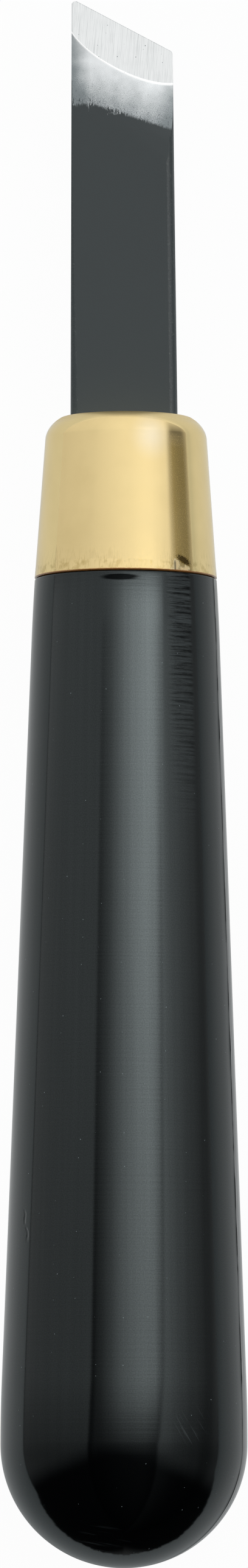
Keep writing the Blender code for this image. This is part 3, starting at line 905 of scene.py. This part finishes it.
# Light round the tool's length, as (degrees from straight up to the right, level), and how it comes and
# goes, as (degrees by which a face turned that way is tipped to the blade, doubled, share). It stays as it
# is past the first and the last of them. The walls and the glow on the right share a part of their rise
WALL_RISE = ((0, 0.37), (2, 0.42), (4, 0.55), (6, 0.7), (8, 0.86), (10, 1))
WALLS = (
    (
        (-98, 0.72), (-80, 0.73), (-60, 0.78), (-33, 0.78), (-30.6, 0.75), (-29.3, 0.05), (-26.5, 0.12),
        (-23.5, 0.24), (40, 0.24), (41, 0.6), (42.5, 1), (60, 0.95), (70, 0.8), (80, 0.6), (86, 0.46),
        (89, 0.36), (96, 0.36), (104, 0.6),
    ),
    ((-90, 0.25), (-10, 0.3), *WALL_RISE, (12, 1.16), (15.5, 1.2), (16, 0)),
)
RIGHT_GLOW = (
    ((40.5, 0), (42.5, 0.8), (46, 0.65), (50, 0.53), (60, 0.15), (70, 0)),
    ((-90, 0), (-10, 0.1), *WALL_RISE, (11, 0.95), (12, 0.5), (13, 0)),
)
STRIP_LAMP = (
    (
        (-28, 0), (-20, 0.2), (-10, 0.9), (0, 1.83), (8, 2.42), (15, 2.88), (20, 3.14), (25, 3.25),
        (29, 3.12), (33, 2.7), (37, 1.9), (40, 0.9), (42.5, 0),
    ),
    (
        (-90, 0), (-10, 0.012), (0, 0.06), (2, 0.085), (4, 0.16), (5, 0.33), (6, 0.56), (8, 0.75),
        (10, 1), (12, 1.35), (13.9, 1.38), (14.4, 1.3), (15.1, 1), (15.6, 0),
    ),
)
LAMP_SPILL = (
    ((-30.6, 0), (-29.3, 1.35), (-26.5, 1.2), (-23.5, 1), (34, 1), (46, 0)),
    ((8, 0), (10, 0.2), (12, 0.42), (12.9, 0.7), (15.4, 0.75), (15.8, 0)),
)
FAR_WALL = (
    (
        (-93, 0.66), (-46, 0.755), (-32, 0.825), (-6, 0.925), (13, 0.965), (47, 0.945), (57, 0.89),
        (61, 0.66), (66, 0.25), (70, 0.16), (85, 0.16), (89, 0.3), (97, 0.56), (110, 0.66),
    ),
    ((15.9, 0), (16.3, 1), (18.5, 1), (26, 0.83), (50, 0.55), (80, 0)),
)
ROUND_LAMP = (
    ((8, 0), (24, 0.11), (34, 0.11), (50, 0)),
    ((16, 0), (16.5, 0.3), (19, 0.8), (24, 1), (32, 0.8), (46, 0)),
)
TENT_TOP = (
    (
        (-180, 0.75), (-60, 0.78), (-10, 0.92), (20, 1), (57, 0.93), (67, 0.78), (84, 0.78), (97, 0.86),
        (180, 0.75),
    ),
    ((18.5, 0), (26, 0.2), (50, 0.49), (80, 1)),
)
# The highest level and share that a ramp can hold
TOP_LEVEL = 4.0
TOP_SHARE = 1.4
# The walls and the lamp run a little askew to the tool: between these tips, they turn by these angles
ASKEW = np.radians((2, 12.8, -9.6, 3.2))
ASKEW_LEFT = 0.2
LAMP_ASKEW = 1.9
# The walls end towards the butt, sooner overhead than at the sides
WALL_LEAN = 0.35
WALL_SHIFT = math.radians(8)
WALL_END = np.radians((-10, 12))


def build_tent():
    """A white tent with a strip lamp over the tool, drawn by direction. The camera sees it as white."""
    world = bpy.data.worlds.new("studio_tent")
    bpy.context.scene.world = world
    add = new_tree(world)
    x, y, z = add("SeparateXYZ", add("TexCoord").outputs["Generated"]).outputs
    turn = add("ARCTAN2", x, z)
    # A face's own turn, doubled, however far it tips: a wall's edge stays straight up the ferrule's shoulder
    over = add("ADD", z, 1.0)
    half_turn = add("ARCTAN2", x, over)
    own_turn = add("MULTIPLY", half_turn, 2.0)
    facing = add("MAXIMUM", add("COSINE", half_turn), 0.15)
    tip = add("Clamp", add("DIVIDE", y, facing), -1.0, 1.0)
    tip = add("ARCSINE", tip)
    skew = add("MapRange", tip, *ASKEW)
    on_right = add("MapRange", turn, -1.0, 0.5, ASKEW_LEFT, 1.0)
    skew = add("MULTIPLY", skew, on_right)
    askew = add("SUBTRACT", turn, skew)
    more = add("MapRange", turn, 0.2, 0.6, 1.0, LAMP_ASKEW)
    lamp_skew = add("MAXIMUM", add("MULTIPLY", skew, more), skew)
    lamp_askew = add("SUBTRACT", turn, lamp_skew)
    aside = away_from(add, turn, -WALL_SHIFT)
    reach = add("MULTIPLY_ADD", aside, WALL_LEAN, tip)
    walled = add("MapRange", reach, *WALL_END, 0.05, 1.0, **SOFT)
    light = 0.0
    for (levels, span), angle in (
        (WALLS, askew), (RIGHT_GLOW, askew), (STRIP_LAMP, lamp_askew), (LAMP_SPILL, lamp_askew),
        (FAR_WALL, own_turn), (ROUND_LAMP, own_turn), (TENT_TOP, own_turn),
    ):
        shares = []
        for value, stops, half, top in ((angle, levels, 180, TOP_LEVEL), (tip, span, 90, TOP_SHARE)):
            place = add("MapRange", value, -math.radians(half), math.radians(half))
            stops = [((at + half) / (2 * half), level / top) for at, level in stops]
            shares.append(add("ValToRGB", place, stops=stops))
        if levels is WALLS[0]:
            shares[1] = add("MULTIPLY", shares[1], walled)
        light = add("MULTIPLY_ADD", *shares, light)
    level = add("MULTIPLY", light, TOP_LEVEL * TOP_SHARE)
    tent = add("Background", {"Color": WHITE, "Strength": level})
    white = add("Background", {"Color": WHITE, "Strength": 1.0})
    seen = add("LightPath").outputs["Is Camera Ray"]
    add("OutputWorld", {"Surface": add("MixShader", seen, tent, white)})


# The lens and the width of its frame, in millimetres, and the middle of the tool's length
LENS = 222.55
SENSOR = 36.0
TOOL_MIDDLE = 65 * MM


def build_camera(stage):
    """A long lens over the tool, a little towards its butt, as the photograph was taken."""
    camera = bpy.data.cameras.new("camera")
    camera.sensor_width = SENSOR
    camera.lens = LENS
    eye = bpy.data.objects.new("camera", camera)
    bpy.context.scene.collection.objects.link(eye)
    middle = Vector(in_place([(0, 0, TOOL_MIDDLE)])[0])
    towards = Vector((0, -math.sin(stage.lean), math.cos(stage.lean)))
    level_up = Vector((0, math.cos(stage.lean), math.sin(stage.lean)))
    right = Vector((1, 0, 0)) * math.cos(stage.roll) + level_up * math.sin(stage.roll)
    up = level_up * math.cos(stage.roll) - Vector((1, 0, 0)) * math.sin(stage.roll)
    place = middle + towards * stage.distance - right * stage.aside - up * stage.below
    eye.matrix_world = Matrix.Translation(place) @ Matrix((right, up, towards)).transposed().to_4x4()
    bpy.context.scene.camera = eye


class LINO_OT_handle(bpy.types.Operator):
    """Builds the moulded handle"""

    bl_idname = "lino.handle"
    bl_label = "Moulded handle"

    def execute(self, context):
        build_handle()
        return {"FINISHED"}


class LINO_OT_ferrule(bpy.types.Operator):
    """Builds the drawn brass ferrule"""

    bl_idname = "lino.ferrule"
    bl_label = "Drawn ferrule"

    def execute(self, context):
        build_ferrule()
        return {"FINISHED"}


class LINO_OT_blade(bpy.types.Operator):
    """Builds the ground and coated blade"""

    bl_idname = "lino.blade"
    bl_label = "Ground blade"

    def execute(self, context):
        build_blade()
        return {"FINISHED"}


class LINO_OT_stage(bpy.types.Operator):
    """Sets up the paper, the tent and the camera"""

    bl_idname = "lino.stage"
    bl_label = "Stage"

    def execute(self, context):
        stage = context.scene.lino_stage
        build_paper(stage)
        build_tent()
        build_camera(stage)
        context.scene.view_settings.view_transform = "Standard"
        return {"FINISHED"}


OPERATORS = (LINO_OT_handle, LINO_OT_ferrule, LINO_OT_blade, LINO_OT_stage)
GROUPS = {
    "lino_handle": HandleSettings,
    "lino_ferrule": FerruleSettings,
    "lino_blade": BladeSettings,
    "lino_stage": StageSettings,
}


class LINO_PT_tool(bpy.types.Panel):
    """Lists the pieces of the tool and their sizes"""

    bl_idname = "LINO_PT_tool"
    bl_label = "Lino cutting tool"
    bl_space_type = "VIEW_3D"
    bl_region_type = "UI"
    bl_category = "Lino tool"

    def draw(self, context):
        for operator, (name, group) in zip(OPERATORS, GROUPS.items()):
            box = self.layout.box()
            box.operator(operator.bl_idname)
            for field in group.__annotations__:
                box.prop(getattr(context.scene, name), field)


def register():
    for group in (*GROUPS.values(), *OPERATORS, LINO_PT_tool):
        bpy.utils.register_class(group)
    for name, group in GROUPS.items():
        setattr(bpy.types.Scene, name, PointerProperty(type=group))


def unregister():
    for name in GROUPS:
        delattr(bpy.types.Scene, name)
    for group in (LINO_PT_tool, *reversed(OPERATORS), *GROUPS.values()):
        bpy.utils.unregister_class(group)


def main():
    register()
    bpy.ops.lino.handle()
    bpy.ops.lino.ferrule()
    bpy.ops.lino.blade()
    bpy.ops.lino.stage()


if __name__ == "__main__":
    main()
